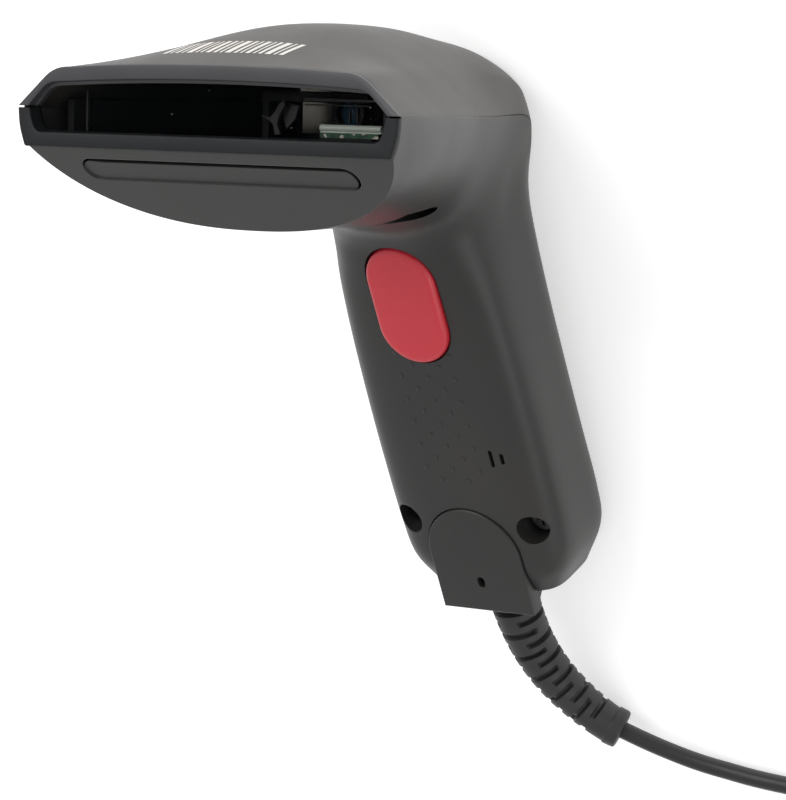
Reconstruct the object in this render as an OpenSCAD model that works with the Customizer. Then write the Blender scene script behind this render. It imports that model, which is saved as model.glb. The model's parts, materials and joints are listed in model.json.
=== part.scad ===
/* [Housing] */
// Half width of the head at the scan window
head_half_w = 46.9; // [46.5:0.1:47.1]
// Wall thickness of both housing halves
wall = 2; // [1.8:0.1:2.2]
// Lean of the handle away from the head's upright
handle_lean = 26.8; // [26.6:0.1:27]
// Angle between the head's upright and the table when the scanner lies on its back
rest_lean = 19.5; // [19:0.5:20]

/* [Window] */
// Half width of the window frame's outer edge
frame_half_w = 47.2; // [46.9:0.1:47.5]
// Height of the window frame's arch above the seam
frame_top = 9.3; // [9.1:0.1:9.5]
// Depth of the window frame's visible rim
frame_depth = 1.4; // [1.2:0.1:1.4]
// Thickness of the clear window
window_t = 1.2; // [1:0.1:1.5]

/* [Trigger] */
// Width of the trigger button
trigger_w = 17.4; // [16:0.2:18]
// Length of the trigger button along the handle
trigger_l = 28.6; // [26:0.2:29]
// How far the button stands out of the handle
trigger_proud = 1.6; // [1.2:0.1:2]
// Gap between the button and its opening
trigger_gap = 0.4; // [0.3:0.05:0.5]
// Travel of the trigger when it is pressed
trigger_travel = 0.9; // [0.5:0.1:1]

/* [Cable] */
// Diameter of the cord
cord_d = 4; // [3.8:0.1:4]
// Width of the cable cover
cover_w = 24; // [23:0.5:25]
// Radius of the strain relief where it leaves the handle
relief_r = 6.2; // [5.8:0.1:6.4]
// Radius of the strain relief at its far end
relief_end_r = 4.3; // [4:0.1:4.5]
// Turns of cord side by side in the coil
coil_columns = 5; // [3:1:5]
// Turns of cord on top of each other in the coil
coil_layers = 2; // [1:1:2]

/* [Hidden] */

// Head frame: X across, Y from the window to the back, Z up, the seam's front corner at Y 0, Z 0.
// Front line of the handle at X 0: it passes this point and runs down along the handle.
handle_y = 62.5;
handle_z = -20;
handle_end = 103.8;
front_y = -0.2;
chin_z = -8.1;
chin_back_y = 16.6;
belly_z = -24.3;
chin_slope = atan2(chin_z - belly_z, chin_back_y - front_y);
cover_top = 77;
cover_proud = 0.8;
cover_lip = 0.7;
cover_deep = 1.7;
cover_gap = 0.25;
block_deep = 7.6;
block_l = 8.8;
relief_deep = 9.4;
trigger_at = 24.5;
board_deep = 12;
board_t = 1.6;
board_screw_q = 40;
board_screw_x = 13.5;
board_shank_r = 1.1;
screw_x = 16.2;
neck_screw_x = 15.6;
neck_screw_q = -5;
handle_screw_q = 81.6;
post_deep = 9;
neck_deep = 3.5;

// Where the head frame's origin lands when the scanner lies on its back
seat_z = 89.9;
top_y = (frame_depth - front_y) * sin(rest_lean) + frame_top * cos(rest_lean);
foot_y = -(handle_y + handle_end * sin(handle_lean) - cover_proud * cos(handle_lean)) * sin(rest_lean)
    + (handle_z - handle_end * cos(handle_lean) - cover_proud * sin(handle_lean)) * cos(rest_lean);
seat_y = -(top_y + foot_y) / 2;

// Stations of the housing from the window to the foot of the handle:
// lower point Y Z, upper point Y Z, half width, seam's share of the way up, roundness of the belly,
// chamfer width, chamfer's share of the upper part, share of the handle's section, forward bend
stations = [
    [chin_back_y, belly_z, front_y, 9.2, head_half_w, 0.725, 2.3, 8.8, 0.88, 0, -8.7],
    [23, belly_z, 14, 13.7, 43, 0.63, 2.3, 8.8, 0.63, 0, -2],
    [33, belly_z, 32, 17.7, 37.8, 0.57, 2.3, 8.8, 0.5, 0, 0],
    [45, belly_z, 54, 17.8, 31.5, 0.565, 2.4, 8, 0.5, 0, 0],
    [54, -24.6, 72, 15.8, 26.7, 0.59, 2.5, 7, 0.52, 0, 0],
    [61, -26, 85, 13.4, 23.6, 0.645, 2.7, 6, 0.58, 0.1, 0],
    [65.5, -29.5, 92.8, 8.5, 22, 0.75, 3, 5.5, 0.62, 0.3, 0],
    [69, -34.5, 93.6, 0, 21.2, 0.84, 3.4, 5, 0.7, 0.6, 0],
    [73.4, -42, 93, -13, 21.3, 0.9, 3.8, 5, 0.7, 0.9, 0],
    [79.6, -54, 99, -32, 21.8, 0.92, 4.2, 5, 0.7, 1, 0],
    [86.4, -67.5, 108, -52, 22.2, 0.92, 4.2, 5, 0.7, 1, 0],
    [93.2, -81, 116, -68, 22.3, 0.92, 4.2, 5, 0.7, 1, 0],
    [100.2, -95, 123.8, -82, 22, 0.92, 4.2, 5, 0.7, 1, 0],
    [104, -102.5, 127.6, -90, 20.8, 0.92, 4.2, 5, 0.7, 1, 0],
    [108.5, -107.5, 127.5, -99, 17, 0.91, 3.6, 5, 0.7, 1, 0]];
last = len(stations) - 1;
bend_at = 0.484;
handle_round = 4.2;
lower_n = 11;
upper_n = 8;
chin_col = 9;
rows = 2 * last;
inner_start = 0.35;
inner_end = last - 0.4;
chamfer_share = 0.3;
dome_power = 2.4;

function extended(i) = i < 0 ? 2 * stations[0] - stations[1]
    : i > last ? 2 * stations[last] - stations[last - 1] : stations[i];
// A smooth curve through the stations
function station(t) = let(i = min(floor(t), last - 1), f = t - i,
        a = extended(i - 1), b = stations[i], c = stations[i + 1], d = extended(i + 2))
    (2 * b + (c - a) * f + (2 * a - 5 * b + 4 * c - d) * f * f
        + (3 * b - a - 3 * c + d) * f * f * f) / 2;
function signed_pow(v, p) = sign(v) * pow(abs(v), p);
// A place on a section: x across and share of the way from the lower to the upper point
function place(s, half, share, x_head, share_head, angle, bend) = let(k = s[9],
        x = (1 - k) * x_head + k * half * pow(max(cos(angle), 0), 2 / handle_round),
        up = (1 - k) * share_head + k * (0.5 + 0.5 * signed_pow(sin(angle), 2 / handle_round)),
        tent = up < bend_at ? up / bend_at : (1 - up) / (1 - bend_at))
    [x, up, bend * tent];
// A section's point: part is "lower" or "upper", u runs from the lowest point to the seam, or from
// the seam to the top, and side is -1 or 1
function section_point(t, inset, part, u, side) = let(s = station(t),
        run = [s[2] - s[0], s[3] - s[1]], length = norm(run), way = run / length,
        half = s[4] - inset, seam = (s[5] * length - inset) / (length - 2 * inset),
        seam_angle = asin(signed_pow(2 * seam - 1, handle_round / 2)),
        v = u < chamfer_share ? u / chamfer_share : (u - chamfer_share) / (1 - chamfer_share),
        p = part == "lower"
            ? place(s, half, seam, half * pow(sin(90 * u), 2 / s[6]),
                seam * (1 - pow(max(cos(90 * u), 0), 2 / s[6])),
                -90 + (seam_angle + 90) * u, s[10])
            : place(s, half, seam, u < chamfer_share ? half - s[7] * v : (half - s[7]) * (1 - v),
                seam + (1 - seam) * (u < chamfer_share ? s[8] * v
                    : s[8] + (1 - s[8]) * (1 - pow(1 - v, dome_power))),
                seam_angle + (90 - seam_angle) * u, s[10]))
    [side * p[0], s[0] + way[0] * (inset + (length - 2 * inset) * p[1]) + p[2],
        s[1] + way[1] * (inset + (length - 2 * inset) * p[1])];
function inner_t(t) = inner_start + (inner_end - inner_start) * t / last;
function columns(part) = part == "lower" ? lower_n : upper_n;
function column_u(part, j) = part == "lower" ? abs(j) / lower_n : 1 - abs(j) / upper_n;
// All points of one half of the housing, row by row: the outer skin, then the inner skin
function skin(part, inner) = [for (i = [0:rows], j = [-columns(part):columns(part)])
    section_point(inner ? inner_t(i / 2) : i / 2, inner ? wall : 0, part, column_u(part, j),
        part == "lower" ? sign(j) : -sign(j))];
function quad(a, b, c, d) = [[a, b, c], [a, c, d]];
// The shell between both skins. The columns from -flat to flat of the first row close it with a
// plate, and the rest of that row is its open front rim.
module half_shell(part, flat) {
    n = 2 * columns(part) + 1;
    inner = (rows + 1) * n;
    mid = columns(part);
    end = rows * n;
    faces = concat(
        [for (i = [0:rows - 1], j = [0:n - 2]) for (f = quad(i * n + j, i * n + j + 1,
            (i + 1) * n + j + 1, (i + 1) * n + j)) f],
        [for (i = [0:rows - 1], j = [0:n - 2]) for (f = quad(inner + i * n + j,
            inner + (i + 1) * n + j, inner + (i + 1) * n + j + 1, inner + i * n + j + 1)) f],
        [for (j = [0:n - 2]) if (flat == 0 || j < mid - flat || j >= mid + flat)
            for (f = quad(j, inner + j, inner + j + 1, j + 1)) f],
        [for (i = [0:rows - 1]) for (f = quad(i * n, (i + 1) * n, inner + (i + 1) * n,
            inner + i * n)) f],
        [for (i = [0:rows - 1]) for (f = quad(i * n + n - 1, inner + i * n + n - 1,
            inner + (i + 1) * n + n - 1, (i + 1) * n + n - 1)) f],
        [[for (j = [0:n - 1]) end + j], [for (j = [n - 1:-1:0]) inner + end + j]],
        quad(end + n - 1, end, inner + end, inner + end + n - 1),
        flat == 0 ? [] : [[for (j = [mid + flat:-1:mid - flat]) j],
            [for (j = [mid - flat:mid + flat]) inner + j]],
        flat == 0 ? [] : quad(mid - flat, mid + flat, inner + mid + flat, inner + mid - flat));
    polyhedron(points = concat(skin(part, false), skin(part, true)), faces = faces, convexity = 8);
}

// Places things in the head frame on the table
module lay_down() {
    translate([0, seat_y, seat_z]) rotate([-90 - rest_lean, 0, 0]) children();
}
// Places things on the handle's front: X across, Y up along the handle, Z out of its front face
module on_handle(q) {
    lay_down() translate([0, handle_y + q * sin(handle_lean), handle_z - q * cos(handle_lean)])
        rotate([90 + handle_lean, 0, 0]) children();
}
module on_chin() {
    lay_down() translate([0, front_y, chin_z]) rotate([180 - chin_slope, 0, 0]) children();
}
module stadium(w, l) {
    translate([0, (l - w) / 2]) circle(d = w, $fn = 48);
    translate([0, (w - l) / 2]) circle(d = w, $fn = 48);
    square([w, l - w], center = true);
}
module both_sides() {
    children();
    mirror([1, 0, 0]) children();
}

// Housing
groove_w = 6.4;
groove_l = 68.8;
groove_down = 6.4;
groove_deep = 0.8;
pocket_r = 3.6;
tube_r = 4.4;
tube_top = 3.2;
tube_edge = 19.1;
neck_pocket_r = 3.2;
neck_tube_r = 4.1;
pocket_floor = 1.5;
shank_r = 1.4;
drill_gap = 0.2;
sound_q = 63;
module cover_outline(grow) {
    reach = handle_end - cover_top - cover_w / 2;
    circle(r = cover_w / 2 + grow, $fn = 64);
    translate([-cover_w / 2 - grow, -reach - grow]) square([cover_w + 2 * grow, reach + grow]);
}
module relief_bore() {
    on_handle(88) translate([0, 0, -relief_deep]) rotate([90, 0, 0])
        cylinder(r = relief_r + 0.3, h = 24, $fn = 48);
}
// A tube round a screw's pocket, cut flat at edge so that it stays inside the wall
module screw_tube(q, x, r, top, depth, edge) {
    on_handle(q) intersection() {
        translate([x, 0, -depth]) cylinder(r = r, h = depth - top, $fn = 32);
        translate([0, -r, -depth]) cube([edge, 2 * r, depth - top]);
    }
}
module screw_pocket(q, x, r, depth) {
    on_handle(q) translate([x, 0, pocket_floor - depth]) cylinder(r = r, h = depth + 18, $fn = 32);
    on_handle(q) translate([x, 0, -depth - 1]) cylinder(r = shank_r + drill_gap, h = 6, $fn = 24);
}
module front_housing() {
    color("#2b2b2d") difference() {
        union() {
            lay_down() half_shell("lower", chin_col);
            both_sides() screw_tube(handle_screw_q, screw_x, tube_r, tube_top, post_deep, tube_edge);
            both_sides() screw_tube(neck_screw_q, neck_screw_x, neck_tube_r, 0, neck_deep, head_half_w);
            both_sides() on_handle(neck_screw_q)
                translate([neck_screw_x + neck_pocket_r + drill_gap, -1.5, -neck_deep])
                    cube([3.2, 3, neck_deep]);
        }
        both_sides() screw_pocket(handle_screw_q, screw_x, pocket_r, post_deep);
        both_sides() screw_pocket(neck_screw_q, neck_screw_x, neck_pocket_r, neck_deep);
        on_handle(trigger_at) translate([0, 0, -6]) linear_extrude(12)
            stadium(trigger_w + 2 * trigger_gap, trigger_l + 2 * trigger_gap);
        on_handle(sound_q) translate([11, 0, -4]) linear_extrude(8) stadium(1, 4.4);
        on_handle(sound_q) translate([13.6, 0, -4]) linear_extrude(8) stadium(1, 2.8);
        on_handle(cover_top + cover_w / 2) translate([0, 0, -cover_deep - cover_gap])
            linear_extrude(12) cover_outline(cover_gap);
        on_handle(handle_end) translate([-cover_w / 2 - cover_gap, -1, -block_deep - cover_gap])
            cube([cover_w + 2 * cover_gap, block_l + 1 + cover_gap, 12]);
        relief_bore();
        on_chin() translate([0, -groove_down, -groove_deep]) linear_extrude(3)
            rotate([0, 0, 90]) stadium(groove_w, groove_l);
    }
}
post_edge = 16.8;
// A post from the rear wall, with a pilot hole for a screw. It is flat where the front half's wall is.
module post(q, x, top, end, r) {
    on_handle(q) intersection() {
        translate([x, 0, -end]) cylinder(r = r, h = end - top, $fn = 32);
        translate([0, -r, -end]) cube([post_edge, 2 * r, end - top]);
    }
}
foot_at = 20.3;
foot_end = 25.2;
foot_in = 9.6;
foot_w = 3;
// The same with a foot that steps inwards, clear of the front half's rim
module footed_post(q, x, top, r) {
    on_handle(q) {
        translate([x, 0, -foot_at]) cylinder(r = r, h = foot_at - top, $fn = 32);
        translate([x - foot_in, -r, -foot_at]) cube([foot_in, 2 * r, foot_w]);
        translate([x - foot_in, -r, -foot_end]) cube([foot_w, 2 * r, foot_end - foot_at + 1]);
    }
}
module pilot(q, x, top, r) {
    on_handle(q) translate([x, 0, -top - 9]) cylinder(r = r + 0.05, h = 10, $fn = 24);
}
module rear_housing() {
    color("#302f2e") difference() {
        union() {
            lay_down() half_shell("upper", 0);
            both_sides() footed_post(handle_screw_q, screw_x, post_deep + 0.1, 2.6);
            both_sides() post(neck_screw_q, neck_screw_x, neck_deep + 0.1, 34.5, 2.6);
            both_sides() footed_post(board_screw_q, board_screw_x, board_deep + board_t, 2.6);
        }
        both_sides() pilot(handle_screw_q, screw_x, post_deep, shank_r);
        both_sides() pilot(neck_screw_q, neck_screw_x, neck_deep, shank_r);
        both_sides() pilot(board_screw_q, board_screw_x, board_deep + board_t, board_shank_r);
        translate([-80, -150, -10]) cube([160, 300, 10]);
    }
}

// Window
function arch_line(half, side_z, top_z) = [for (i = [0:12]) let(x = half * (i / 6 - 1))
    [x, top_z - (top_z - side_z) * pow(x / half, 2)]];
function upper_points(inset) = concat([[-frame_half_w + inset, 0]],
    arch_line(38 + inset * 0.6, frame_top - 1.1 - inset * 1.18, frame_top - inset * 1.15),
    [[frame_half_w - inset, 0]]);
function lower_points(inset) = [[frame_half_w - inset, 0],
    [frame_half_w - inset - 0.3, -4 + inset * 0.6], [44.4 - inset * 0.9, -7.8 + inset],
    [-44.4 + inset * 0.9, -7.8 + inset], [-frame_half_w + inset + 0.3, -4 + inset * 0.6],
    [-frame_half_w + inset, 0]];
frame_w = 3.3;
tongue_l = 2.2;
// Stands a flat outline up in the head frame, from y_near back to y_far
module stand(y_near, y_far) {
    lay_down() translate([0, y_far, 0]) rotate([90, 0, 0]) linear_extrude(y_far - y_near) children();
}
module upper_window_trim() {
    color("#1d1e20") {
        stand(front_y - frame_depth, front_y) difference() {
            polygon(upper_points(0));
            polygon(upper_points(frame_w));
        }
        stand(front_y, front_y + tongue_l) difference() {
            polygon(upper_points(frame_w - 0.9));
            polygon(upper_points(frame_w));
        }
    }
}
module lower_window_trim() {
    color("#1d1e20") {
        stand(front_y - frame_depth, front_y) difference() {
            polygon(lower_points(0));
            polygon(lower_points(frame_w));
        }
        stand(front_y, front_y + tongue_l) difference() {
            polygon(lower_points(frame_w - 0.9));
            polygon(lower_points(frame_w));
        }
    }
}
module scan_window() {
    color("#20262a", 0.3) stand(front_y + tongue_l, front_y + tongue_l + window_t)
        polygon(concat(upper_points(frame_w - 0.6), lower_points(frame_w - 0.6)));
}

// Screws: head low in its pocket, shank into the post behind it
module screw(head_r, head_h, length) {
    difference() {
        cylinder(r = head_r, h = head_h, $fn = 32);
        translate([0, 0, head_h - 0.9]) {
            cube([head_r * 1.3, 0.6, 2], center = true);
            cube([0.6, head_r * 1.3, 2], center = true);
        }
    }
    translate([0, 0, -length]) cylinder(r = shank_r - 0.02, h = length, $fn = 24);
}
module housing_screws() {
    color("#8d8f92") {
        both_sides() on_handle(handle_screw_q) translate([screw_x, 0, 1.6 - post_deep])
            screw(2.7, 1.7, 9);
        both_sides() on_handle(neck_screw_q) translate([neck_screw_x, 0, 1.6 - neck_deep])
            screw(2.7, 1.7, 6);
    }
}

// Optics, in the head frame
optic_z = -0.3;
module box_at(low, size) {
    lay_down() translate(low) cube(size);
}
module optics_chassis() {
    color("#17181a") {
        lay_down() translate([0, 0, -7.6]) linear_extrude(1.4)
            polygon([[-38.8, 8], [38.8, 8], [27, 44], [21, 62], [-21, 62], [-27, 44]]);
        box_at([22, 8.2, -6.2], [12.4, 3.6, 1.6]);
        lay_down() translate([0, 0, -6.2]) linear_extrude(7.8) difference() {
            polygon([[-40.2, 6], [-38.6, 6], [-24.6, 44], [-18, 60], [18, 60], [24.6, 44], [38.6, 6],
                [40.2, 6], [27, 44], [21, 62], [-21, 62], [-27, 44]]);
            translate([-9, 58]) square([18, 6]);
        }
        box_at([-3.6, 24, -6.2], [1.6, 12, 8.4]);
        box_at([-2, 34.5, -6.2], [22, 1.6, 1.6]);
        box_at([-3.6, 24, 2], [26, 12.2, 2]);
    }
}
module optics_mirror() {
    color("#c9ccd0") lay_down() translate([-15.5, 54, -6.1]) rotate([0, 0, 24])
        cube([14, 1.1, 11]);
}
module lens_barrel() {
    color("#0e0e10") lay_down() translate([8, 0, optic_z]) rotate([-90, 0, 0]) {
        difference() {
            translate([0, 0, 38]) cylinder(r = 4, h = 14, $fn = 48);
            translate([0, 0, 37]) cylinder(r = 2.9, h = 16, $fn = 48);
        }
        translate([0, 0, 42]) difference() {
            cylinder(r = 5, h = 2.5, $fn = 48);
            translate([0, 0, -1]) cylinder(r = 4, h = 5, $fn = 48);
        }
    }
}
module lens() {
    color("#7fb6c8") lay_down() translate([8, 0, optic_z]) rotate([-90, 0, 0])
        translate([0, 0, 39]) intersection() {
            cylinder(r = 2.85, h = 3, $fn = 48);
            translate([0, 0, 6.2]) sphere(r = 6.2, $fn = 64);
        }
}
module image_sensor() {
    color("#5b5148") box_at([-4, 64.2, -4.3], [24, 2.6, 8]);
}
module sensor_board() {
    color("#1f5a3a") box_at([-17, 66.8, -6.5], [34, 1.6, 13]);
}
module led_board() {
    color("#1f5a3a") box_at([22, 8.2, -4.6], [14, 3.4, 1]);
}
led_count = 4;
module leds() {
    color("#d8452f") for (i = [0:led_count - 1])
        box_at([23.5 + i * 3.4, 10.1, -3.6], [1.6, 1.1, 1.2]);
}
module light_guide() {
    color("#dfe6ea", 0.6) lay_down() translate([21.8, 9, -2.7]) rotate([0, 90, 0]) {
        cylinder(r = 0.7, h = 14.6, $fn = 32);
        translate([0, -0.35, 0]) cube([0.9, 0.7, 14.6]);
    }
}

// Electronics behind the handle's front
module deep_box(x, q_top, q_end, deep, deep_end, w) {
    on_handle(q_end) translate([x - w / 2, 0, -deep_end]) cube([w, q_end - q_top, deep_end - deep]);
}
module main_board() {
    color("#1f5a3a") difference() {
        deep_box(0, 6, 74, board_deep, board_deep + board_t, 33);
        both_sides() on_handle(board_screw_q) translate([board_screw_x, 0, -board_deep - 4])
            cylinder(r = board_shank_r + 0.1, h = 8, $fn = 24);
    }
}
module board_screws() {
    color("#b9bcc0") both_sides() on_handle(board_screw_q) translate([board_screw_x, 0, -board_deep]) {
        cylinder(r = 2, h = 1.2, $fn = 32);
        translate([0, 0, -6]) cylinder(r = board_shank_r, h = 6, $fn = 24);
    }
}
switch_h = 3.5;
plunger_r = 1.7;
plunger_h = 2.2;
plunger_top = board_deep - switch_h - 1.2;
plunger_play = 0.4;
module trigger_switch() {
    color("#26272a") difference() {
        deep_box(0, trigger_at - 3.1, trigger_at + 3.1, board_deep - switch_h, board_deep, 6.2);
        on_handle(trigger_at) translate([0, 0, -plunger_top - plunger_h - trigger_travel - plunger_play])
            cylinder(r = plunger_r + 0.15, h = 6, $fn = 32);
    }
}
module buzzer() {
    color("#141416") on_handle(52) translate([9.5, 0, -board_deep]) difference() {
        cylinder(r = 5, h = 5, $fn = 48);
        translate([0, 0, 3.8]) cylinder(r = 1, h = 3, $fn = 24);
    }
}
module cable_socket() {
    color("#2e2f33") difference() {
        deep_box(0, 58, 74, 3.6, board_deep, 15);
        deep_box(0, 62, 75, 5, board_deep - 1.4, 12.4);
    }
}
module cable_plug() {
    color("#d9d2bd", 0.8) {
        deep_box(0, 66, 84, 5.2, board_deep - 1.6, 12);
        deep_box(0, 74.5, 84, 3.6, 5.2, 3);
    }
}

// Trigger
flange = 1.3;
flange_deep = 2.35;
flange_t = 1.2;
stem_r = 2.1;
module trigger_button() {
    color("#c01f2c") on_handle(trigger_at) {
        translate([0, 0, -flange_deep]) linear_extrude(flange_deep + trigger_proud)
            stadium(trigger_w, trigger_l);
        translate([0, 0, -flange_deep - flange_t]) linear_extrude(flange_t)
            stadium(trigger_w + 2 * flange, trigger_l + 2 * flange);
        translate([0, 0, -plunger_top]) cylinder(r = stem_r, h = plunger_top - flange_deep, $fn = 32);
    }
}
module switch_plunger() {
    color("#e6e4dc") on_handle(trigger_at) translate([0, 0, -plunger_top - plunger_h])
        cylinder(r = plunger_r, h = plunger_h, $fn = 32);
}

// Cable cover: a tombstone plate that stands prouder towards its foot, with a block round the cord's boot
module cable_cover() {
    reach = handle_end - cover_top;
    color("#29292b") difference() {
        intersection() {
            on_handle(cover_top + cover_w / 2) translate([0, 0, -block_deep - 1]) linear_extrude(16)
                cover_outline(0);
            on_handle(handle_end) rotate([90, 0, 90]) translate([0, 0, -20]) linear_extrude(40)
                polygon([[0, -0.5], [block_l - 2.5, -block_deep], [block_l, -block_deep],
                    [block_l, -cover_deep], [reach, -cover_deep], [reach, 0.5], [reach - 2, cover_lip],
                    [0, cover_proud]]);
        }
        on_handle(96) translate([0, 0, -6]) linear_extrude(12) stadium(1.9, 2.8);
        relief_bore();
    }
}

// Cord. The route runs on the table from the handle's foot, Z up from the table.
relief_route = [[0, -62.7, 16.5], [0, -70, 15.6], [0, -77, 14.7], [0.4, -84, 13.7], [1.5, -91.6, 12.1],
    [4.3, -99.2, 10.4], [9, -106.2, 8.7], [14.3, -111.6, 7.2], [17.8, -113.8, 6.4]];
cord_route = [[17.8, -113.8, 6.4], [23, -116.7, 5.2], [28.5, -119.4, 4], [35, -121.8, 3],
    [41.5, -123.4, 2.3], [48, -124.5, 2.1], [56, -125.3, 2], [66, -125.9, 2],
    [76, -126, 2.1], [86, -126, 2.4], [95, -126, 2.6]];
tail_route = [[138, -84, 6.6], [138.2, -78, 6.2], [138.9, -72, 5.2], [139.7, -66, 4.5], [140, -60, 4.2]];
coil_x = 106;
coil_y = -94;
coil_mean_r = 24;
tie_t = 0.6;
coil_w = coil_columns * cord_d;
coil_h = coil_layers * cord_d;
plug_x = 140;
plug_y = -60;
plug_z = 4.2;

function along(p, i) = let(n = len(p) - 1, d = i == 0 ? p[1] - p[0] : i == n ? p[n] - p[n - 1]
    : p[i + 1] - p[i - 1]) d / norm(d);
function ring(c, d, r, sides) = let(a = cross(d, [0, 0, 1]), u = a / norm(a), v = cross(u, d))
    [for (k = [0:sides - 1]) c + r * (cos(360 * k / sides) * u + sin(360 * k / sides) * v)];
module swept(route, r_start, r_end, sides) {
    n = len(route);
    points = [for (i = [0:n - 1]) let(r = r_start + (r_end - r_start) * i / (n - 1))
        for (p = ring(route[i], along(route, i), r, sides)) p];
    faces = concat([[for (k = [0:sides - 1]) k]],
        [for (i = [0:n - 2], k = [0:sides - 1]) let(m = (k + 1) % sides)
            for (f = quad(i * sides + k, (i + 1) * sides + k, (i + 1) * sides + m, i * sides + m)) f],
        [[for (k = [sides - 1:-1:0]) (n - 1) * sides + k]]);
    polyhedron(points = points, faces = faces, convexity = 6);
}
module strain_relief() {
    color("#1e1e20") swept(relief_route, relief_r, relief_end_r, 16);
}
module cord_tube() {
    color("#18181a") swept(cord_route, cord_d / 2, cord_d / 2, 10);
}
module cord_tail() {
    color("#18181a") swept(tail_route, cord_d / 2, cord_d / 2, 10);
}
module cord_coil() {
    color("#18181a") translate([coil_x, coil_y, tie_t]) rotate_extrude($fn = 72)
        translate([coil_mean_r - coil_w / 2, 0]) square([coil_w, coil_h]);
}
module coil_tie() {
    color("#101012") translate([coil_x, coil_y, 0]) rotate([0, 0, 35])
        translate([coil_mean_r, 0, 0]) rotate([90, 0, 0]) linear_extrude(5, center = true) difference() {
            translate([-coil_w / 2 - tie_t - 0.3, 0]) square([coil_w + 2 * tie_t + 0.4, coil_h + 2 * tie_t]);
            translate([-coil_w / 2 - 0.3, tie_t]) square([coil_w + 0.4, coil_h]);
        }
}
module usb_plug_body() {
    color("#1a1a1c") translate([plug_x, plug_y, plug_z]) rotate([-90, 0, 0]) {
        cylinder(r = 3.4, h = 8, $fn = 32);
        translate([-8, -4, 8]) cube([16, 8, 26]);
    }
}
module usb_plug_shell() {
    color("#c4c6c9") translate([plug_x - 6, plug_y + 34, plug_z - 2.25]) difference() {
        cube([12, 12, 4.5]);
        translate([0.4, 1, 2.2]) cube([11.2, 12, 1.9]);
    }
}

front_housing();
rear_housing();
upper_window_trim();
lower_window_trim();
scan_window();
housing_screws();
optics_chassis();
optics_mirror();
lens_barrel();
lens();
image_sensor();
sensor_board();
led_board();
leds();
light_guide();
main_board();
board_screws();
trigger_switch();
buzzer();
cable_socket();
cable_plug();
trigger_button();
switch_plunger();
cable_cover();
strain_relief();
cord_tube();
cord_tail();
cord_coil();
coil_tie();
usb_plug_body();
usb_plug_shell();
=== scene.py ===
import json
import math
import bpy
import bmesh
import numpy as np
from mathutils import Vector, Matrix
from mathutils.bvhtree import BVHTree


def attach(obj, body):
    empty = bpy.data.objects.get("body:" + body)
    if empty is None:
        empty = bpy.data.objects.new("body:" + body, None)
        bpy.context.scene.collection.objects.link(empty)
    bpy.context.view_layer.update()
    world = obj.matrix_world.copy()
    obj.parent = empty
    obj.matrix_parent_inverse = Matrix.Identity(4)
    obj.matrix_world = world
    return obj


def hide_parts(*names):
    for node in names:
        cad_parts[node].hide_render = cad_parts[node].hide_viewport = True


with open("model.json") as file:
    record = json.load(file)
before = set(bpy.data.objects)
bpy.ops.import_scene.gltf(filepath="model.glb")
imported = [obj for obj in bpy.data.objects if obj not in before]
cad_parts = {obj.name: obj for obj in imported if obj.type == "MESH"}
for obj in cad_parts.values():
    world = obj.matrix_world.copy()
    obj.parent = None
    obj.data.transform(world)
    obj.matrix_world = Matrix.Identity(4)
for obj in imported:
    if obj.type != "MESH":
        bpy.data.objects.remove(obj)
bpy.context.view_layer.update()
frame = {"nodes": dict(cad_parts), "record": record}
MM = 0.001

# Head frame, in mm: X across, Y from the window to the back, Z up, the seam's front corner at Y 0, Z 0.
REST_LEAN = math.radians(19.5)
HANDLE_LEAN = math.radians(26.8)
HANDLE_Y, HANDLE_Z, HANDLE_END = 62.5, -20.0, 103.8
FRONT_Y, CHIN_Z = -0.2, -8.1
GROOVE_W, GROOVE_L, GROOVE_DOWN, GROOVE_DEEP = 6.4, 68.8, 6.4, 0.35
FRAME_DEPTH, FRAME_TOP, COVER_PROUD, COVER_LIP = 1.4, 9.3, 0.8, 0.7
CHIN_SLOPE = math.atan2(16.2, 16.8)
SIN, COS = math.sin(REST_LEAN), math.cos(REST_LEAN)
TOP_Y = (FRAME_DEPTH - FRONT_Y) * SIN + FRAME_TOP * COS
FOOT_Y = (-(HANDLE_Y + HANDLE_END * math.sin(HANDLE_LEAN) - COVER_PROUD * math.cos(HANDLE_LEAN)) * SIN
          + (HANDLE_Z - HANDLE_END * math.cos(HANDLE_LEAN) - COVER_PROUD * math.sin(HANDLE_LEAN)) * COS)
SEAT_Y, SEAT_Z = -(TOP_Y + FOOT_Y) / 2, 89.9


def turned(d):
    """A direction from the head frame in the row frame."""
    d = np.asarray(d, float)
    return np.stack([d[..., 0], -d[..., 1] * SIN + d[..., 2] * COS, -d[..., 1] * COS - d[..., 2] * SIN], -1)


def row(p):
    """Points from the head frame, in mm, in the row frame, in metres."""
    return (turned(p) + np.array([0, SEAT_Y, SEAT_Z])) * MM


def on_handle(p, q):
    """Points given across, up along and out of the handle's front, in the head frame."""
    p = np.asarray(p, float)
    s, c = math.sin(HANDLE_LEAN), math.cos(HANDLE_LEAN)
    return np.stack([p[..., 0], HANDLE_Y + q * s - p[..., 1] * s - p[..., 2] * c,
                     HANDLE_Z - q * c + p[..., 1] * c - p[..., 2] * s], -1)


def on_chin(p):
    """Points given across, up along and out of the chin, in the head frame."""
    p = np.asarray(p, float)
    s, c = math.sin(CHIN_SLOPE), math.cos(CHIN_SLOPE)
    return np.stack([p[..., 0], FRONT_Y - p[..., 1] * c - p[..., 2] * s,
                     CHIN_Z + p[..., 1] * s - p[..., 2] * c], -1)


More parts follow.
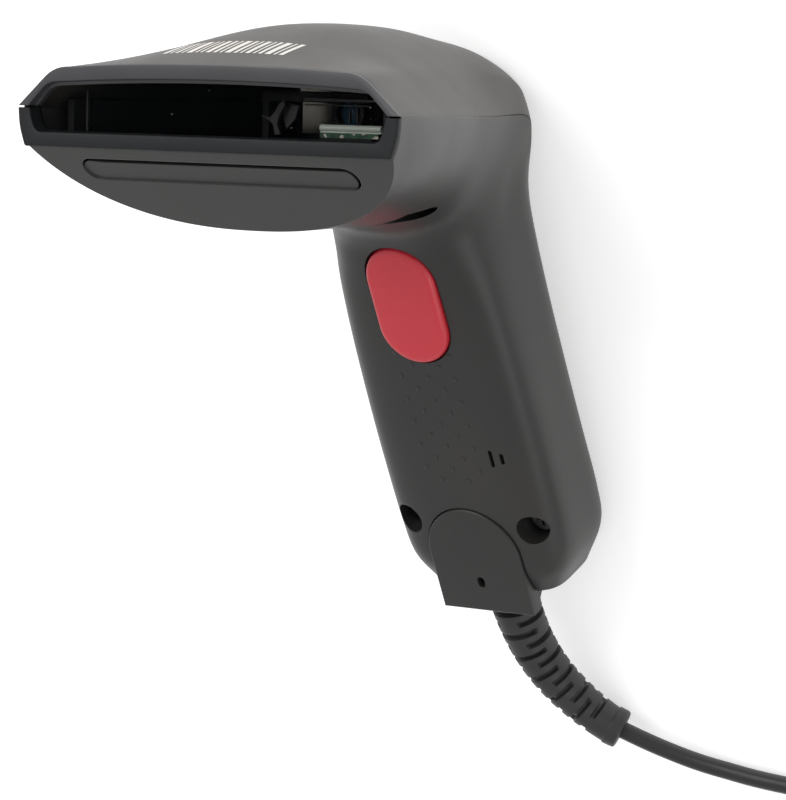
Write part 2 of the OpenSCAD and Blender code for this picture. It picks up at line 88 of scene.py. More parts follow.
# ---------------------------------------------------------------- camera
def make_camera():
    azimuth, elevation, roll = math.radians(34), math.radians(5.362), math.radians(0.991)
    distance, pan_x, pan_y, lens = 755.45, 37.22, -57.44, 173.69
    right = np.array([math.cos(azimuth), math.sin(azimuth), 0])
    back = np.array([math.sin(azimuth) * math.cos(elevation), -math.cos(azimuth) * math.cos(elevation),
                     math.sin(elevation)])
    up = np.cross(back, right)
    right, up = (math.cos(roll) * right + math.sin(roll) * up,
                 -math.sin(roll) * right + math.cos(roll) * up)
    place = row(back * distance + right * pan_x + up * pan_y)
    data = bpy.data.cameras.new("camera")
    data.sensor_fit, data.sensor_width, data.lens = "HORIZONTAL", 36, lens
    data.clip_start, data.clip_end = 0.05, 50
    cam = bpy.data.objects.new("camera", data)
    bpy.context.scene.collection.objects.link(cam)
    axes = [turned(v) for v in (right, up, back)]
    cam.matrix_world = Matrix([[axes[0][i], axes[1][i], axes[2][i], place[i]] for i in range(3)]
                              + [[0, 0, 0, 1]])
    bpy.context.scene.camera = cam


make_camera()


# ---------------------------------------------------------------- materials
class Mat:
    """A small helper that builds one node material."""

    def __init__(self, name):
        self.m = bpy.data.materials.new(name)
        self.m.use_nodes = True
        self.t = self.m.node_tree
        self.t.nodes.clear()
        self.out = self.t.nodes.new("ShaderNodeOutputMaterial")
        self.p = self.t.nodes.new("ShaderNodeBsdfPrincipled")
        self.link(self.p.outputs[0], self.out.inputs[0])
        self.co = self.t.nodes.new("ShaderNodeTexCoord").outputs["Object"]

    def link(self, a, b):
        self.t.links.new(a, b)

    def node(self, kind, **inputs):
        n = self.t.nodes.new(kind)
        for k, v in inputs.items():
            n.inputs[k.replace("_", " ")].default_value = v
        return n

    def noise(self, scale, detail=2.0, rough=0.5, stretch=None):
        n = self.node("ShaderNodeTexNoise", Scale=scale, Detail=detail, Roughness=rough)
        if stretch:
            mp = self.t.nodes.new("ShaderNodeMapping")
            mp.inputs["Scale"].default_value = stretch
            self.link(self.co, mp.inputs["Vector"])
            self.link(mp.outputs[0], n.inputs["Vector"])
        else:
            self.link(self.co, n.inputs["Vector"])
        return n.outputs["Fac"]

    def range(self, value, a, b, lo, hi):
        n = self.node("ShaderNodeMapRange")
        for k, v in zip(("From Min", "From Max", "To Min", "To Max"), (a, b, lo, hi)):
            n.inputs[k].default_value = v
        self.link(value, n.inputs["Value"])
        return n.outputs[0]

    def mix(self, fac, a, b):
        n = self.t.nodes.new("ShaderNodeMix")
        n.data_type = "RGBA"
        if isinstance(fac, float):
            n.inputs[0].default_value = fac
        else:
            self.link(fac, n.inputs[0])
        for i, c in ((6, a), (7, b)):
            if isinstance(c, (tuple, list)):
                n.inputs[i].default_value = (*c, 1)
            else:
                self.link(c, n.inputs[i])
        return n.outputs[2]

    def math(self, op, a, b):
        n = self.t.nodes.new("ShaderNodeMath")
        n.operation = op
        for i, v in enumerate((a, b)):
            if isinstance(v, (int, float)):
                n.inputs[i].default_value = v
            else:
                self.link(v, n.inputs[i])
        return n.outputs[0]

    def bump(self, height, strength, distance, normal=None):
        n = self.node("ShaderNodeBump", Strength=strength, Distance=distance)
        self.link(height, n.inputs["Height"])
        if normal is not None:
            self.link(normal, n.inputs["Normal"])
        return n.outputs[0]

    def edge(self, radius):
        """A rounded normal for sharp edges, and how far each point is from flat."""
        b = self.t.nodes.new("ShaderNodeBevel")
        b.samples = 4
        b.inputs["Radius"].default_value = radius
        g = self.t.nodes.new("ShaderNodeNewGeometry")
        d = self.t.nodes.new("ShaderNodeVectorMath")
        d.operation = "DOT_PRODUCT"
        self.link(b.outputs[0], d.inputs[0])
        self.link(g.outputs["Normal"], d.inputs[1])
        worn = self.range(d.outputs["Value"], 0.98, 0.75, 0.0, 1.0)
        return b.outputs[0], worn


def plastic(name, colour, rough=0.42, grain=0.25, grain_scale=5200, edge=0.00035, spec=0.5,
            warm=(1.08, 1.0, 0.93), var=0.16,
            smudge=0.07, wear=(1.7, 1.7, 1.7), coat=0.0):
    """Moulded plastic: fine spark grain, faint flow variation, worn edges and handling marks."""
    m = Mat(name)
    cloud = m.range(m.noise(28, 3, 0.55), 0.3, 0.7, 0, 1)
    fine = m.noise(grain_scale, 2, 0.6)
    streak = m.range(m.noise(60, 4, 0.6, (1, 0.25, 1)), 0.35, 0.75, 0, 1)
    normal, worn = m.edge(edge)
    a = tuple(c * (1 - var) for c in colour)
    b = tuple(c * (1 + var) * w for c, w in zip(colour, warm))
    base = m.mix(cloud, a, b)
    speck = m.range(m.noise(900, 1, 0.5), 0.76, 0.80, 0, 0.35)
    base = m.mix(speck, base, tuple(min(1, c * 2.0) for c in colour))
    base = m.mix(m.math("MULTIPLY", worn, 0.5), base, tuple(min(1, c * w) for c, w in zip(colour, wear)))
    m.link(base, m.p.inputs["Base Color"])
    r = m.math("ADD", m.range(streak, 0, 1, rough - smudge, rough + smudge),
               m.range(fine, 0.3, 0.7, -0.03, 0.03))
    m.link(m.math("SUBTRACT", r, m.math("MULTIPLY", worn, 0.08)), m.p.inputs["Roughness"])
    m.link(m.bump(fine, grain, 0.00004, normal), m.p.inputs["Normal"])
    m.p.inputs["Specular IOR Level"].default_value = spec
    m.p.inputs["Coat Weight"].default_value = coat
    return m.m


def metal(name, colour, rough=0.3, stretch=(1, 1, 40)):
    m = Mat(name)
    brushed = m.noise(900, 3, 0.6, stretch)
    cloud = m.noise(120, 2, 0.5)
    normal, worn = m.edge(0.00015)
    m.link(m.mix(m.range(cloud, 0.3, 0.7, 0, 1), tuple(c * 0.85 for c in colour), colour),
           m.p.inputs["Base Color"])
    m.link(m.range(brushed, 0.3, 0.7, rough - 0.08, rough + 0.12), m.p.inputs["Roughness"])
    m.link(m.bump(brushed, 0.15, 0.00002, normal), m.p.inputs["Normal"])
    m.p.inputs["Metallic"].default_value = 1
    return m.m


def clear(name, colour, alpha, rough=0.05, spec=0.5):
    """A thin clear part: mostly see-through, with dust specks and faint smears."""
    m = Mat(name)
    dust = m.range(m.noise(1500, 1, 0.4), 0.80, 0.83, 0, 1)
    haze = m.range(m.noise(90, 3, 0.6), 0.4, 0.8, 0, 0.02)
    m.link(m.mix(dust, colour, (0.75, 0.75, 0.72)), m.p.inputs["Base Color"])
    m.link(m.math("ADD", m.math("ADD", m.math("MULTIPLY", dust, 0.5), haze), alpha), m.p.inputs["Alpha"])
    m.link(m.range(m.noise(70, 3, 0.6), 0.3, 0.7, rough, rough + 0.08), m.p.inputs["Roughness"])
    m.p.inputs["Specular IOR Level"].default_value = spec
    return m.m


def board(name):
    """Solder mask with copper tracks and tinned pads."""
    m = Mat(name)
    v = m.node("ShaderNodeTexVoronoi", Scale=420)
    v.feature, v.distance = "DISTANCE_TO_EDGE", "MANHATTAN"
    m.link(m.co, v.inputs["Vector"])
    track = m.range(v.outputs["Distance"], 0.05, 0.09, 1, 0)
    pad = m.range(m.noise(700, 0, 0), 0.66, 0.68, 0, 1)
    base = m.mix(track, (0.004, 0.045, 0.018), (0.010, 0.085, 0.035))
    m.link(m.mix(pad, base, (0.45, 0.42, 0.36)), m.p.inputs["Base Color"])
    m.link(m.math("MULTIPLY", pad, 0.8), m.p.inputs["Metallic"])
    m.link(m.range(m.noise(300, 2, 0.5), 0.3, 0.7, 0.25, 0.4), m.p.inputs["Roughness"])
    m.link(m.bump(track, 0.3, 0.00003), m.p.inputs["Normal"])
    return m.m


M = {
    "front_cover": plastic("front_cover", (0.0215, 0.0213, 0.0212), rough=0.42, smudge=0.03, var=0.08),
    "rear_cover": plastic("rear_cover", (0.036, 0.0345, 0.032), rough=0.46, smudge=0.03, var=0.08),
    "trim_upper": plastic("trim_upper", (0.044, 0.044, 0.047), rough=0.40, grain=0.12, warm=(1, 1, 1.04)),
    "trim_lower": plastic("trim_lower", (0.0065, 0.0075, 0.0085), rough=0.5, spec=0.3, grain=0.9,
                          grain_scale=2300, warm=(1, 1, 1.03)),
    # A lighter grey copy of the black inner plastic: painted light for the lit chassis ribs behind the
    # window.
    "rib_grey": plastic("rib_grey", (0.030, 0.031, 0.034), rough=0.42),
    "black_inner": plastic("black_inner", (0.004, 0.0042, 0.0045), rough=0.6, spec=0.25),
    "dark_part": plastic("dark_part", (0.013, 0.013, 0.0145), rough=0.38),
    "cable_cover": plastic("cable_cover", (0.0215, 0.0214, 0.0212), rough=0.42, smudge=0.03, var=0.08),
    "trigger_red": plastic("trigger_red", (0.62, 0.028, 0.046), rough=0.33, grain=0.06,
                           warm=(1.0, 0.95, 0.95), var=0.05, wear=(1.2, 1.6, 1.6), coat=0.15),
    "plunger_white": plastic("plunger_white", (0.72, 0.71, 0.67), rough=0.4, wear=(1.1, 1.1, 1.1)),
    "cord_rubber": plastic("cord_rubber", (0.018, 0.018, 0.0195), rough=0.40, grain=0.2, grain_scale=3000),
    "relief_rubber": plastic("relief_rubber", (0.023, 0.023, 0.0245), rough=0.50, grain=0.4,
                             grain_scale=3600, edge=0.00025),
    "tie_black": plastic("tie_black", (0.014, 0.014, 0.015), rough=0.6, grain=0.6, grain_scale=1600),
    "sensor_package": plastic("sensor_package", (0.10, 0.085, 0.065), rough=0.4),
    "clear_plug": plastic("clear_plug", (0.58, 0.54, 0.44), rough=0.3, wear=(1.1, 1.1, 1.1)),
    "lamp_red": plastic("lamp_red", (0.60, 0.05, 0.04), rough=0.2, wear=(1.2, 1.5, 1.5)),
    "print_white": plastic("print_white", (0.72, 0.72, 0.70), rough=0.5, wear=(1.0, 1.0, 1.0), var=0.04),
    "screw_steel": metal("screw_steel", (0.20, 0.20, 0.205), 0.36),
    "plug_metal": metal("plug_metal", (0.62, 0.62, 0.64), 0.25),
    "mirror_glass": metal("mirror_glass", (0.16, 0.15, 0.13), 0.10),
    # The pane's near-black tint darkens the inside seen through the window: painted shade for the dark
    # inside of the housing.
    "clear_window": clear("clear_window", (0.004, 0.005, 0.006), 0.10, spec=0.04),
    "clear_bar": clear("clear_bar", (0.62, 0.68, 0.60), 0.75, 0.12),
    # The lens glass's blue tint is a painted reflection, standing in for the coloured glint on the lens
    # coating.
    "lens_glass": clear("lens_glass", (0.10, 0.25, 0.40), 0.70, 0.04),
    "circuit_board": board("circuit_board"),
}


def dress(obj, name):
    obj.data.materials.clear()
    obj.data.materials.append(M[name])


# ---------------------------------------------------------------- mesh helpers
def piece(name, points, faces, material, slot=None, body="scanner", replaces=(), smooth=True, angle=32,
          metres=False):
    """A new piece from head-frame points in mm (or row-frame points in metres)."""
    mesh = bpy.data.meshes.new(name)
    pts = np.asarray(points, float).reshape(-1, 3)
    mesh.from_pydata((pts if metres else row(pts)).tolist(), [], [list(map(int, f)) for f in faces])
    mesh.update()
    obj = bpy.data.objects.new(name, mesh)
    bpy.context.scene.collection.objects.link(obj)
    tidy_mesh(obj, smooth, angle)
    if material:
        dress(obj, material)
        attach(obj, body)
        if replaces:
            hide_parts(*replaces)
    return obj


def tidy_mesh(obj, smooth=True, angle=32):
    bm = bmesh.new()
    bm.from_mesh(obj.data)
    bmesh.ops.recalc_face_normals(bm, faces=bm.faces)
    bm.to_mesh(obj.data)
    bm.free()
    if smooth:
        obj.data.shade_smooth()
        obj.data.set_sharp_from_angle(angle=math.radians(angle))


def combine(obj, cutter, how):
    """Applies one boolean and removes the cutter."""
    mod = obj.modifiers.new("cut", "BOOLEAN")
    mod.operation, mod.solver, mod.object = how, "EXACT", cutter
    bpy.context.view_layer.update()
    deps = bpy.context.evaluated_depsgraph_get()
    done = bpy.data.meshes.new_from_object(obj.evaluated_get(deps))
    obj.modifiers.clear()
    old = obj.data
    obj.data = done
    bpy.data.meshes.remove(old)
    mesh = cutter.data
    bpy.data.objects.remove(cutter)
    bpy.data.meshes.remove(mesh)


def grid_faces(n, m, close=False, start=0):
    """Quads of an n by m grid of points; close joins the last column to the first."""
    out = []
    for i in range(n - 1):
        for j in range(m if close else m - 1):
            k = (j + 1) % m
            out.append((start + i * m + j, start + i * m + k, start + (i + 1) * m + k,
                        start + (i + 1) * m + j))
    return out


def stadium(w, l, n=16):
    """An outline with round ends, w wide and l long along Y."""
    a = np.linspace(0, math.pi, n + 1)
    top = np.stack([w / 2 * np.cos(a), (l - w) / 2 + w / 2 * np.sin(a)], -1)
    return np.vstack([top, -top])


def circle(r, n=40):
    a = np.linspace(0, 2 * math.pi, n, endpoint=False)
    return np.stack([r * np.cos(a), r * np.sin(a)], -1)


def stack(outlines, heights):
    """Closed mesh data from outlines with equal counts at heights, in a local frame."""
    m = len(outlines[0])
    pts = np.vstack([np.column_stack([o, np.full(m, h)]) for o, h in zip(outlines, heights)])
    faces = grid_faces(len(outlines), m, True)
    faces += [tuple(range(m))[::-1], tuple((len(outlines) - 1) * m + k for k in range(m))]
    return pts, faces


def joined(parts):
    """One list of points and faces from several."""
    pts, faces, k = [], [], 0
    for p, f in parts:
        pts.append(np.asarray(p))
        faces += [tuple(i + k for i in g) for g in f]
        k += len(p)
    return np.vstack(pts), faces


def catmull(points, per):
    """A smooth line through the points, per steps to each span."""
    p = np.asarray(points, float)
    e = np.vstack([2 * p[0] - p[1], p, 2 * p[-1] - p[-2]])
    out = []
    for i in range(len(p) - 1):
        a, b, c, d = e[i:i + 4]
        for k in range(per):
            f = k / per
            out.append((2 * b + (c - a) * f + (2 * a - 5 * b + 4 * c - d) * f * f
                        + (3 * b - a - 3 * c + d) * f ** 3) / 2)
    return np.array(out + [p[-1]])


def fillet(points, cuts, n=6):
    """A polyline with rounded inner corners. cuts is the length taken off both sides of each corner."""
    p = np.asarray(points, float)
    out = [p[0]]
    for i in range(1, len(p) - 1):
        a, b, c = p[i - 1], p[i], p[i + 1]
        s = b + (a - b) / np.linalg.norm(a - b) * cuts[i - 1]
        e = b + (c - b) / np.linalg.norm(c - b) * cuts[i - 1]
        for k in range(n + 1):
            t = k / n
            out.append((1 - t) ** 2 * s + 2 * t * (1 - t) * b + t * t * e)
    return np.array(out + [p[-1]])


# ---------------------------------------------------------------- cord
RELIEF_ROUTE = [(0, -62.7, 16.5), (0, -70, 15.6), (0, -77, 14.7), (0.4, -84, 13.7), (1.5, -91.6, 12.1),
                (4.3, -99.2, 10.4), (9, -106.2, 8.7), (14.3, -111.6, 7.2), (17.8, -113.8, 6.4)]
CORD_ROUTE = [(23, -116.7, 5.2), (28.5, -119.4, 4), (35, -121.8, 3), (41.5, -123.4, 2.3), (48, -124.5, 2.1),
              (56, -125.3, 2), (66, -125.9, 2), (76, -126, 2.1), (86, -126, 2.4), (95, -126, 2.6)]
TAIL_ROUTE = [(138, -84, 6.6), (138.2, -78, 6.2), (138.9, -72, 5.2), (139.7, -66, 4.5), (140, -60, 4.2)]
COIL_X, COIL_Y, COIL_MEAN = 106, -94, 24
PLUG_X, PLUG_Y, PLUG_Z = 140, -60, 4.2
CORD_D = 4
STEP_OVER = 150


def coil_route():
    """Five turns inwards on the table, then five outwards on top, all stepping over in one zone."""
    radii = [32, 28, 24, 20, 16, 16, 20, 24, 28, 32]
    heights = [2.6] * 5 + [6.6] * 5
    out = []
    total = 90 + 9 * 360
    steps = int(total / 18)
    for k in range(steps + 1):
        a = -90 + total * k / steps
        n = math.floor((a - 10) / 360)
        f = min(1.0, ((a - 10) % 360) / STEP_OVER)
        i = max(0.0, n + (1 - math.cos(math.pi * f)) / 2)
        lo = min(8, int(i))
        g = i - lo
        r = radii[lo] + (radii[lo + 1] - radii[lo]) * g
        z = heights[lo] + (heights[lo + 1] - heights[lo]) * g
        if lo == 4:
            r -= 1.5 * math.sin(math.pi * g)
        out.append((COIL_X + r * math.cos(math.radians(a)), COIL_Y + r * math.sin(math.radians(a)), z))
    return out


def make_cord():
    line = RELIEF_ROUTE + CORD_ROUTE + coil_route() + TAIL_ROUTE
    data = bpy.data.curves.new("cord", "CURVE")
    data.dimensions = "3D"
    data.bevel_depth, data.bevel_resolution, data.use_fill_caps = CORD_D / 2 * MM, 5, True
    spline = data.splines.new("BEZIER")
    spline.bezier_points.add(len(line) - 1)
    for b, p in zip(spline.bezier_points, line):
        b.co = Vector(p) * MM
        b.handle_left_type = b.handle_right_type = "AUTO"
    spline.resolution_u = 6
    obj = bpy.data.objects.new("cord", data)
    bpy.context.scene.collection.objects.link(obj)
    data.materials.append(M["cord_rubber"])
    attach(obj, "scanner")
    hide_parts("cord_tube", "cord_tail", "cord_coil")
    bpy.context.view_layer.update()
    # The length along the curve, from its own points between the handles
    deps = bpy.context.evaluated_depsgraph_get()
    bare = data.copy()
    bare.bevel_depth = 0
    probe = bpy.data.objects.new("probe", bare)
    bpy.context.scene.collection.objects.link(probe)
    bpy.context.view_layer.update()
    mesh = bpy.data.meshes.new_from_object(probe.evaluated_get(bpy.context.evaluated_depsgraph_get()))
    v = np.array([x.co for x in mesh.vertices])
    length = float(np.linalg.norm(np.diff(v, axis=0), axis=1).sum())
    bpy.data.objects.remove(probe)
    bpy.data.curves.remove(bare)
    bpy.data.meshes.remove(mesh)
    return obj, length


def swept(route, profile, per, sides):
    """A tube round a smooth route in row millimetres; profile(s, angle) gives its radius."""
    line = catmull(route, per)
    steps = np.linalg.norm(np.diff(line, axis=0), axis=1)
    s = np.concatenate([[0], np.cumsum(steps)])
    d = np.gradient(line, axis=0)
    d /= np.linalg.norm(d, axis=1)[:, None]
    a = np.linspace(0, 2 * math.pi, sides, endpoint=False)
    rings = []
    for p, t, along in zip(line, d, s):
        side = np.cross(t, [0, 0, 1])
        side /= np.linalg.norm(side)
        over = np.cross(side, t)
        r = profile(along, a, s[-1])
        rings.append(p + r[:, None] * (np.cos(a)[:, None] * over + np.sin(a)[:, None] * side))
    return np.array(rings), s


FIRST_SLOT, SLOT_PITCH = 16.2, 6.2


def relief_radius(s, a, total):
    """Tapered boot: slots over and under it, then at both sides, in turn, and a collar at the end."""
    r = np.full(len(a), 6.2 + (4.3 - 6.2) * s / total)
    for k in range(12):
        at = FIRST_SLOT + SLOT_PITCH / 2 * k
        if at > total - 4.6:
            break
        half = 0.62
        turn = a if k % 2 == 0 else a - math.pi / 2
        near = np.abs(np.arctan2(np.sin(2 * turn), np.cos(2 * turn))) / 2
        across = np.clip((math.radians(68) - near) / math.radians(9), 0, 1)
        along = np.clip((half - abs(s - at)) / 0.16 + 0.5, 0, 1)
        width = np.clip(along * across, 0, 1)
        r -= 1.35 * width * width * (3 - 2 * width)
    if s > total - 3.2:
        r += 0.3 * np.clip((s - (total - 3.2)) / 0.3, 0, 1)
    end = total - s
    if end < 0.8:
        r -= 0.8 * (1 - math.sqrt(max(0, 1 - (1 - end / 0.8) ** 2)))
    return r


def make_relief():
    sides = 112
    rings, s = swept(RELIEF_ROUTE, relief_radius, 32, sides)
    n = len(rings)
    faces = grid_faces(n, sides, True)
    centre = len(rings) * sides
    pts = np.vstack([rings.reshape(-1, 3), rings[0].mean(0), rings[-1].mean(0)])
    for j in range(sides):
        k = (j + 1) % sides
        faces.append((j, k, centre))
        faces.append(((n - 1) * sides + k, (n - 1) * sides + j, centre + 1))
    return piece("cord_boot", pts * MM, faces, "relief_rubber", "cord_rubber", replaces=["strain_relief"],
                 metres=True, angle=50)


def make_plug():
    """Moulded USB plug body with grip ridges and a soft-edged block."""
    parts = []

    def block(w, h, r, n=6):
        a = []
        for cx, cz, start in ((w / 2 - r, h / 2 - r, 0), (-w / 2 + r, h / 2 - r, 90),
                              (-w / 2 + r, -h / 2 + r, 180), (w / 2 - r, -h / 2 + r, 270)):
            for k in range(n + 1):
                t = math.radians(start + 90 * k / n)
                a.append((cx + r * math.cos(t), cz + r * math.sin(t)))
        return np.array(a)

    sections = [(0, 5.2, 5.2, 2.5), (0.6, 6.4, 6.4, 3.1), (6.6, 6.8, 6.8, 3.3), (7.2, 6.8, 6.8, 3.3),
                (8, 11.5, 7.2, 2.2), (9.4, 15.0, 7.7, 1.8), (11, 15.8, 7.9, 1.6)]
    for k in range(5):
        y = 13 + 3 * k
        sections += [(y, 15.9, 7.9, 1.6), (y + 0.4, 14.9, 7.9, 1.6), (y + 1.2, 14.9, 7.9, 1.6),
                     (y + 1.6, 15.9, 7.9, 1.6)]
    sections += [(32, 15.9, 7.9, 1.6), (33.6, 15.4, 7.5, 1.4), (34, 14.2, 6.4, 1.2)]
    outlines = [block(w, h, r) for _, w, h, r in sections]
    m = len(outlines[0])
    pts = np.vstack([np.column_stack([PLUG_X + o[:, 0], np.full(m, PLUG_Y + y[0]), PLUG_Z + o[:, 1]])
                     for o, y in zip(outlines, sections)])
    faces = grid_faces(len(outlines), m, True) + [tuple(range(m))[::-1],
                                                  tuple((len(outlines) - 1) * m + k for k in range(m))]
    body = piece("usb_plug", pts * MM, faces, "dark_part", replaces=["usb_plug_body"], metres=True,
                 angle=40)
    return body


def make_tie():
    """A woven strap round the coil, with soft edges and its end lapped over itself."""
    w, h, r, n = 20.5 / 2 + 0.35, 8.1 / 2 + 0.25, 1.6, 6
    ring = []
    for cx, cz, start in ((w - r, h - r, 0), (-w + r, h - r, 90), (-w + r, -h + r, 180),
                          (w - r, -h + r, 270)):
        ring += [(cx + r * math.cos(math.radians(start + 90 * k / n)),
                  cz + r * math.sin(math.radians(start + 90 * k / n)))
                 for k in range(n + 1)]
    ring = np.array(ring)
    out = np.gradient(np.vstack([ring[-1:], ring, ring[:1]]), axis=0)[1:-1]
    out = np.column_stack([out[:, 1], -out[:, 0]]) / np.linalg.norm(out, axis=1)[:, None]
    section = [(-2.5, 0), (-2.45, 0.2), (-2.2, 0.28), (2.2, 0.28), (2.45, 0.2), (2.5, 0), (2.45, -0.2),
               (2.2, -0.28), (-2.2, -0.28), (-2.45, -0.2)]
    m = len(section)
    pts = np.array([[(p[0] + o[0] * t, s, p[1] + o[1] * t) for s, t in section]
                    for p, o in zip(ring, out)]).reshape(-1, 3)
    faces = grid_faces(len(ring), m, True) + [(k, (k + 1) % m, (len(ring) - 1) * m + (k + 1) % m,
                                               (len(ring) - 1) * m + k) for k in range(m)]
    flap = [(x, t) for x, t in zip(np.linspace(-7, 7.5, 12), [0.30] * 10 + [0.34, 0.42])]
    lap = np.array([[(x, s * 0.96, h + 0.28 + t + b * 0.9) for s, b in section]
                    for x, t in flap]).reshape(-1, 3)
    lf = grid_faces(len(flap), m, True) + [tuple(range(m)),
                                           tuple((len(flap) - 1) * m + k for k in range(m))[::-1]]
    pts, faces = joined([(pts, faces), (lap, lf)])
    a = math.radians(35)
    x, y, z = pts[:, 0] + COIL_MEAN, pts[:, 1], pts[:, 2] + h + 0.3
    place = np.column_stack([COIL_X + x * math.cos(a) - y * math.sin(a),
                             COIL_Y + x * math.sin(a) + y * math.cos(a), z])
    return piece("coil_strap", place * MM, faces, "tie_black", replaces=["coil_tie"], metres=True, angle=50)


cord, cord_length = make_cord()
boot = make_relief()
usb_plug = make_plug()
coil_strap = make_tie()

# ---------------------------------------------------------------- housing
STATIONS = np.array([
    [16.6, -24.3, -0.2, 9.2, 46.9, 0.725, 2.3, 8.8, 0.88, 0, -8.7],
    [23, -24.3, 14, 13.7, 43, 0.63, 2.3, 8.8, 0.63, 0, -2],
    [33, -24.3, 32, 17.7, 37.8, 0.57, 2.3, 8.8, 0.5, 0, 0],
    [45, -24.3, 54, 17.8, 31.5, 0.565, 2.4, 8, 0.5, 0, 0],
    [54, -24.6, 72, 15.8, 26.7, 0.59, 2.5, 7, 0.52, 0, 0],
    [61, -26, 85, 13.4, 23.6, 0.645, 2.7, 6, 0.58, 0.1, 0],
    [65.5, -29.5, 92.8, 8.5, 22, 0.75, 3, 5.5, 0.62, 0.3, 0],
    [69, -34.5, 93.6, 0, 21.2, 0.84, 3.4, 5, 0.7, 0.6, 0],
    [73.4, -42, 93, -13, 21.3, 0.9, 3.8, 5, 0.7, 0.9, 0],
    [79.6, -54, 99, -32, 21.8, 0.92, 4.2, 5, 0.7, 1, 0],
    [86.4, -67.5, 108, -52, 22.2, 0.92, 4.2, 5, 0.7, 1, 0],
    [93.2, -81, 116, -68, 22.3, 0.92, 4.2, 5, 0.7, 1, 0],
    [100.2, -95, 123.8, -82, 22, 0.92, 4.2, 5, 0.7, 1, 0],
    [104, -102.5, 127.6, -90, 20.8, 0.92, 4.2, 5, 0.7, 1, 0],
    [108.5, -107.5, 127.5, -99, 17, 0.91, 3.6, 5, 0.7, 1, 0]])
LAST = len(STATIONS) - 1
BEND_AT, HANDLE_ROUND, CHAMFER_SHARE, DOME = 0.484, 4.2, 0.3, 2.4
INNER_START, INNER_END, WALL = 0.35, LAST - 0.4, 2.0


def station(t):
    i = np.clip(np.floor(t).astype(int), 0, LAST - 1)
    f = (t - i)[..., None]
    e = np.vstack([2 * STATIONS[0] - STATIONS[1], STATIONS, 2 * STATIONS[-1] - STATIONS[-2]])
    a, b, c, d = e[i], e[i + 1], e[i + 2], e[i + 3]
    return (2 * b + (c - a) * f + (2 * a - 5 * b + 4 * c - d) * f * f
            + (3 * b - a - 3 * c + d) * f ** 3) / 2


def signed_pow(v, p):
    return np.sign(v) * np.abs(v) ** p


def skin(part, t, u, side, inset=0.0):
    """The housing's surface, as in the CAD: t along it, u round it, side -1 or 1."""
    s = station(np.asarray(t, float))
    low_y, low_z, high_y, high_z, half, share, belly, cham_w, cham_s, k, bend = (s[..., i]
                                                                                 for i in range(11))
    ry, rz = high_y - low_y, high_z - low_z
    length = np.hypot(ry, rz)
    half = half - inset
    seam = (share * length - inset) / (length - 2 * inset)
    seam_angle = np.arcsin(signed_pow(2 * seam - 1, HANDLE_ROUND / 2))
    q = math.pi / 2
    if part == "lower":
        xh = half * np.sin(q * u) ** (2 / belly)
        sh = seam * (1 - np.maximum(np.cos(q * u), 0) ** (2 / belly))
        angle = -q + (seam_angle + q) * u
    else:
        def flat(u):
            v = np.where(u < CHAMFER_SHARE, u / CHAMFER_SHARE, (u - CHAMFER_SHARE) / (1 - CHAMFER_SHARE))
            x = np.where(u < CHAMFER_SHARE, half - cham_w * v, (half - cham_w) * (1 - v))
            return np.stack([x, np.where(u < CHAMFER_SHARE, cham_s * v,
                                         cham_s + (1 - cham_s) * (1 - (1 - v) ** DOME))])

        # The crease between the chamfer and the dome is rounded, most of all at the window
        soft = np.clip(1 - 0.45 * np.asarray(t, float), 0.3, 1)
        start, end = CHAMFER_SHARE - 0.075 * soft, CHAMFER_SHARE + 0.055 * soft
        f = np.clip((u - start) / (end - start), 0, 1)
        curve = ((1 - f) ** 2 * flat(start) + 2 * f * (1 - f) * flat(CHAMFER_SHARE + 0 * u)
                 + f ** 2 * flat(end))
        xh, sh = np.where((u > start) & (u < end), curve, flat(u))
        sh = seam + (1 - seam) * sh
        angle = seam_angle + (q - seam_angle) * u
    x = (1 - k) * xh + k * half * np.maximum(np.cos(angle), 0) ** (2 / HANDLE_ROUND)
    up = (1 - k) * sh + k * (0.5 + 0.5 * signed_pow(np.sin(angle), 2 / HANDLE_ROUND))
    tent = np.where(up < BEND_AT, up / BEND_AT, (1 - up) / (1 - BEND_AT))
    return np.stack([side * x, low_y + ry / length * (inset + (length - 2 * inset) * up) + bend * tent,
                     low_z + rz / length * (inset + (length - 2 * inset) * up)], -1)


